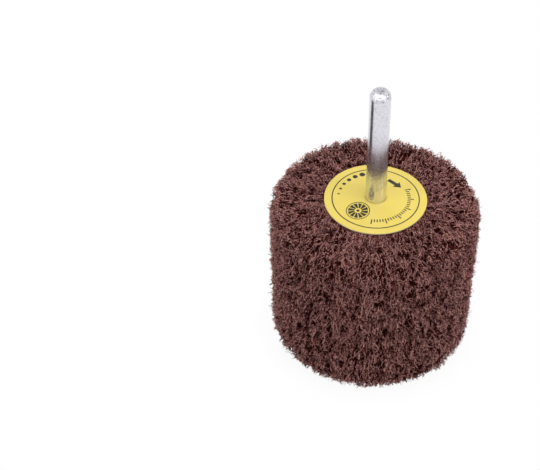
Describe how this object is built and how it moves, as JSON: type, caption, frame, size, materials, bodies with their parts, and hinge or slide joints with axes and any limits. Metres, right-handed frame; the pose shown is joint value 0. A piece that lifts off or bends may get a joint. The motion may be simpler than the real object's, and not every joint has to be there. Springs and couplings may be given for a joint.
{
  "type": "mounted nonwoven wheel",
  "caption": "Mounted abrasive wheel: nonwoven web flaps packed round a cast resin core with a round steel shank and a round label, for surface finishing in a hand grinder or drill.",
  "frame": {"origin": "centre of the back face, on the spindle's axis, where the wheel stands", "axes": "+Z along the spindle towards its free end; +X through the middle of flap_01"},
  "size_m": [0.06, 0.06, 0.0905],
  "materials": {
    "steel": "satin",
    "resin": "matte",
    "label": "gloss",
    "web": "matte"
  },
  "bodies": {
    "root": {"spindle": "steel", "resin_core": "resin", "label_disc": "label", "flap_01": "web", "flap_02": "web", "flap_03": "web", "flap_04": "web", "flap_05": "web", "flap_06": "web", "flap_07": "web", "flap_08": "web", "flap_09": "web", "flap_10": "web", "flap_11": "web", "flap_12": "web", "flap_13": "web", "flap_14": "web", "flap_15": "web", "flap_16": "web", "flap_17": "web", "flap_18": "web", "flap_19": "web", "flap_20": "web", "flap_21": "web", "flap_22": "web", "flap_23": "web", "flap_24": "web"}
  },
  "joints": []
}
